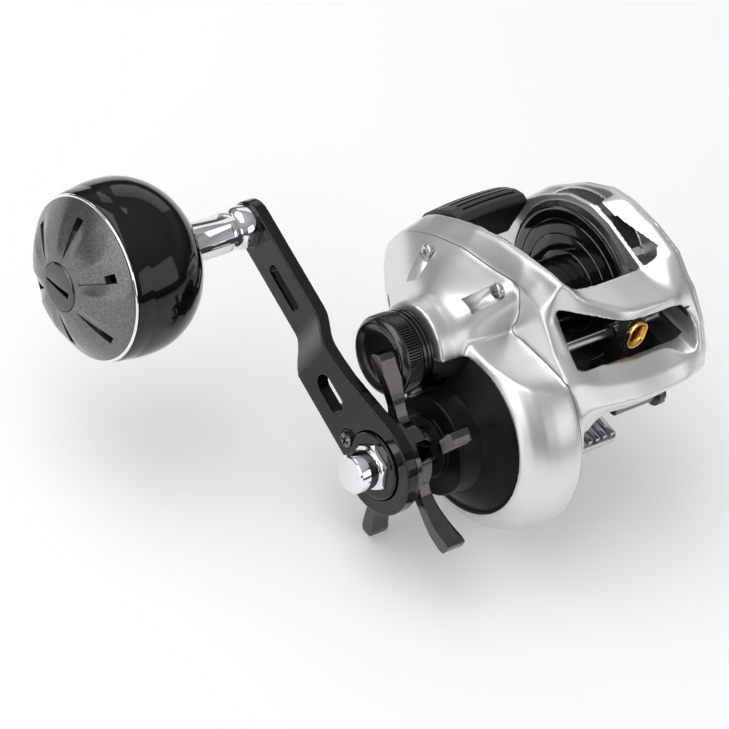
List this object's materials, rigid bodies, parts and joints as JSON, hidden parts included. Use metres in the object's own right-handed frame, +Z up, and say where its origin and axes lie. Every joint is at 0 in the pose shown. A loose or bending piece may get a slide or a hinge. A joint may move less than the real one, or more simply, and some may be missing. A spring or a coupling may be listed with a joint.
{
  "type": "baitcasting reel",
  "caption": "Low-profile multiplier fishing reel with a single ball-knob power handle, star drag, level wind and a ribbed foot.",
  "frame": {"origin": "centre of the foot's underside, where the reel sits on the rod", "axes": "+X from the handle side to the palm side along the spool axis, -Y the way the line leaves, +Z up away from the rod"},
  "size_m": [0.1391, 0.1147, 0.0732],
  "materials": {
    "frame_silver": "satin pearl silver, fine cast and painted",
    "side_plate_silver": "satin pearl silver",
    "palm_plate_silver": "satin pearl silver",
    "cover_black": "satin black with a machined edge",
    "screw_steel": "turned stainless steel",
    "dark_steel": "blackened steel",
    "foot_silver": "polished ribbed aluminium",
    "race_alloy": "turned alloy",
    "bearing_steel": "ground bearing steel",
    "guard_black": "satin black",
    "polished_rod": "polished stainless steel",
    "spring_steel": "drawn spring steel",
    "cam_polymer": "acetal",
    "thumb_black": "matte black, grooved",
    "shaft_steel": "ground steel",
    "gear_brass": "cut brass",
    "drag_fibre": "woven carbon fibre and steel discs",
    "star_gunmetal": "gunmetal anodised",
    "arm_black": "gloss gunmetal black anodised",
    "nut_chrome": "polished chrome",
    "retainer_black": "gloss black",
    "post_chrome": "polished chrome",
    "knob_black": "polished black",
    "knob_cap_gunmetal": "metallic charcoal",
    "knob_ring_steel": "polished thin ring",
    "spool_black": "gloss black anodised with a polished rim",
    "brake_polymer": "acetal",
    "carrier_black": "moulded black",
    "guide_gold": "gold-coloured hard coating, polished",
    "pawl_bronze": "bronze",
    "cast_cap_gunmetal": "gunmetal anodised with fine knurling"
  },
  "bodies": {
    "housing": {"frame": "frame_silver", "handle_side_plate": "side_plate_silver", "gear_cover": "cover_black", "side_plate_screws": "screw_steel", "reel_foot": "foot_silver", "foot_screws": "screw_steel", "worm_guard": "guard_black", "worm_bearings": "bearing_steel", "guide_rod": "polished_rod", "drive_shaft_bearing": "bearing_steel", "roller_clutch_bearing": "bearing_steel", "pinion_bearing": "bearing_steel", "pinion_outer_bearing": "bearing_steel", "spool_shaft_bearing": "bearing_steel", "yoke_springs": "spring_steel"},
    "palm_cover": {"palm_plate": "palm_plate_silver", "brake_race": "race_alloy", "palm_bearing": "bearing_steel"},
    "release_screw": {"palm_release_screw": "dark_steel"},
    "handle": {"drive_shaft": "shaft_steel", "drive_gear": "gear_brass", "drag_washers": "drag_fibre", "ratchet": "shaft_steel", "idle_gear": "cam_polymer", "clutch_sleeve": "shaft_steel", "spring_washers": "spring_steel", "spacer_collar": "arm_black", "handle_arm": "arm_black", "handle_nut": "nut_chrome", "nut_retainer": "retainer_black", "retainer_screw": "dark_steel", "knob_post": "post_chrome"},
    "star": {"star_drag": "star_gunmetal", "star_nut": "shaft_steel"},
    "knob": {"knob_body": "knob_black", "knob_cap": "knob_cap_gunmetal", "knob_ring": "knob_ring_steel", "knob_screw_cap": "knob_cap_gunmetal", "knob_bearings": "bearing_steel"},
    "spool_group": {"spool": "spool_black", "spool_shaft": "polished_rod", "spool_pin": "polished_rod", "brake_hub": "brake_polymer"},
    "weight_1": {"brake_weight_1": "brake_polymer"},
    "weight_2": {"brake_weight_2": "brake_polymer"},
    "weight_3": {"brake_weight_3": "brake_polymer"},
    "weight_4": {"brake_weight_4": "brake_polymer"},
    "yoke": {"clutch_yoke": "race_alloy"},
    "pinion_group": {"pinion": "gear_brass"},
    "cam": {"clutch_cam": "cam_polymer"},
    "clutch_bar": {"thumb_bar": "thumb_black", "clutch_link": "race_alloy"},
    "worm": {"worm_shaft": "shaft_steel", "worm_gear": "cam_polymer"},
    "line_guide": {"guide_carrier": "carrier_black", "guide_ring": "guide_gold", "pawl_cap": "screw_steel"},
    "pawl_group": {"pawl": "pawl_bronze"},
    "cap": {"cast_cap": "cast_cap_gunmetal", "cast_washer": "brake_polymer"}
  },
  "joints": [
    {"name": "handle_spin", "type": "hinge", "parent": "housing", "child": "handle", "pos_m": [-0.004, -0.01661, 0.01019], "axis": [1, 0, 0], "continuous": true},
    {"name": "star_turn", "type": "hinge", "parent": "handle", "child": "star", "pos_m": [-0.056, -0.01661, 0.01019], "axis": [1, 0, 0], "range_deg": [-270, 270]},
    {"name": "knob_spin", "type": "hinge", "parent": "handle", "child": "knob", "pos_m": [-0.099, 0.04831, 0.03357], "axis": [1, 0, 0], "continuous": true},
    {"name": "spool_spin", "type": "hinge", "parent": "housing", "child": "spool_group", "pos_m": [-0.004, 0.001, 0.0265], "axis": [1, 0, 0], "continuous": true},
    {"name": "brake_weight_1_slide", "type": "slide", "parent": "spool_group", "child": "weight_1", "axis": [0, -0.7071, 0.7071], "range_m": [0, 0.0015]},
    {"name": "brake_weight_2_slide", "type": "slide", "parent": "spool_group", "child": "weight_2", "axis": [0, -0.7071, -0.7071], "range_m": [0, 0.0015]},
    {"name": "brake_weight_3_slide", "type": "slide", "parent": "spool_group", "child": "weight_3", "axis": [0, 0.7071, -0.7071], "range_m": [0, 0.0015]},
    {"name": "brake_weight_4_slide", "type": "slide", "parent": "spool_group", "child": "weight_4", "axis": [0, 0.7071, 0.7071], "range_m": [0, 0.0015]},
    {"name": "thumb_press", "type": "slide", "parent": "housing", "child": "clutch_bar", "axis": [0, 0, -1], "range_m": [0, 0.004]},
    {"name": "clutch_cam_turn", "type": "hinge", "parent": "housing", "child": "cam", "pos_m": [-0.023, 0.001, 0.0265], "axis": [1, 0, 0], "range_deg": [-23, 0]},
    {"name": "yoke_lift", "type": "slide", "parent": "housing", "child": "yoke", "axis": [-1, 0, 0], "range_m": [0, 0.002]},
    {"name": "pinion_spin", "type": "hinge", "parent": "yoke", "child": "pinion_group", "pos_m": [-0.029, 0.001, 0.0265], "axis": [1, 0, 0], "continuous": true},
    {"name": "worm_spin", "type": "hinge", "parent": "housing", "child": "worm", "pos_m": [-0.004, -0.02705, 0.02264], "axis": [1, 0, 0], "continuous": true},
    {"name": "guide_slide", "type": "slide", "parent": "housing", "child": "line_guide", "axis": [1, 0, 0], "range_m": [-0.0135, 0.0065]},
    {"name": "pawl_turn", "type": "hinge", "parent": "line_guide", "child": "pawl_group", "pos_m": [-0.0005, -0.02705, 0.01864], "axis": [0, 0, 1], "range_deg": [-20, 20]},
    {"name": "cast_cap_turn", "type": "hinge", "parent": "housing", "child": "cap", "pos_m": [-0.049, 0.001, 0.0265], "axis": [1, 0, 0], "range_deg": [-180, 180]},
    {"name": "palm_cover_off", "type": "slide", "parent": "housing", "child": "palm_cover", "axis": [1, 0, 0], "range_m": [0, 0.025]},
    {"name": "release_screw_turn", "type": "hinge", "parent": "palm_cover", "child": "release_screw", "pos_m": [0.018, -0.026, 0.0095], "axis": [1, 0, 0], "range_deg": [0, 90]}
  ],
  "couplings": [
    {"joint": "spool_spin", "follows": "handle_spin", "ratio": -7.6},
    {"joint": "pinion_spin", "follows": "handle_spin", "ratio": -7.6},
    {"joint": "worm_spin", "follows": "handle_spin", "ratio": -1.6667},
    {"joint": "clutch_cam_turn", "follows": "thumb_press", "rad_per_m": -100},
    {"joint": "yoke_lift", "follows": "thumb_press", "ratio": 0.5},
    {"joint": "brake_weight_2_slide", "follows": "brake_weight_1_slide", "ratio": 1},
    {"joint": "brake_weight_3_slide", "follows": "brake_weight_1_slide", "ratio": 1},
    {"joint": "brake_weight_4_slide", "follows": "brake_weight_1_slide", "ratio": 1}
  ]
}
